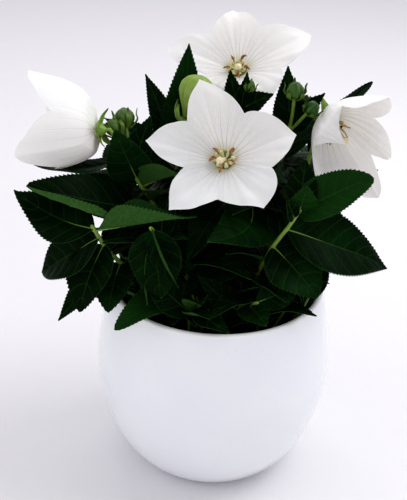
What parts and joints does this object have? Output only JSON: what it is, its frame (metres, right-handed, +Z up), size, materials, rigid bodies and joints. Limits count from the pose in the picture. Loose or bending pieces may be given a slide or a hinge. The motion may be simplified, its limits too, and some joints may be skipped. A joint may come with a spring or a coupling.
{
  "type": "potted flowering plant",
  "caption": "Leafy star-flowered plant with open white five-lobed blooms, a closed bud and toothed dark leaves, growing from soil in a round glazed white pot.",
  "frame": {"origin": "on the pot's axis at the flat face it stands on", "axes": "+Z up, -Y towards the front of the plant as pictured, +X to its right"},
  "size_m": [0.1847, 0.149, 0.2323],
  "materials": {
    "glaze": "gloss",
    "soil": "matte",
    "leaves": "satin",
    "petals": "matte",
    "centre": "matte",
    "bud": "satin"
  },
  "bodies": {
    "root": {"pot": "glaze", "soil": "soil", "bud_balloon": "bud", "bloom_front_petals": "petals", "bloom_front_centre": "centre", "bloom_back_petals": "petals", "bloom_back_centre": "centre", "bloom_left_petals": "petals", "bloom_left_centre": "centre", "bloom_right_petals": "petals", "bloom_right_centre": "centre", "stem_front": "leaves", "stem_back": "leaves", "stem_left": "leaves", "stem_left_low": "leaves", "stem_front_left": "leaves", "stem_back_left": "leaves", "stem_centre": "leaves", "stem_right_top": "leaves", "stem_right": "leaves", "stem_right_low": "leaves", "stem_front_low": "leaves", "stem_back_low": "leaves", "stem_back_right": "leaves", "stem_back_left_low": "leaves"}
  },
  "joints": []
}
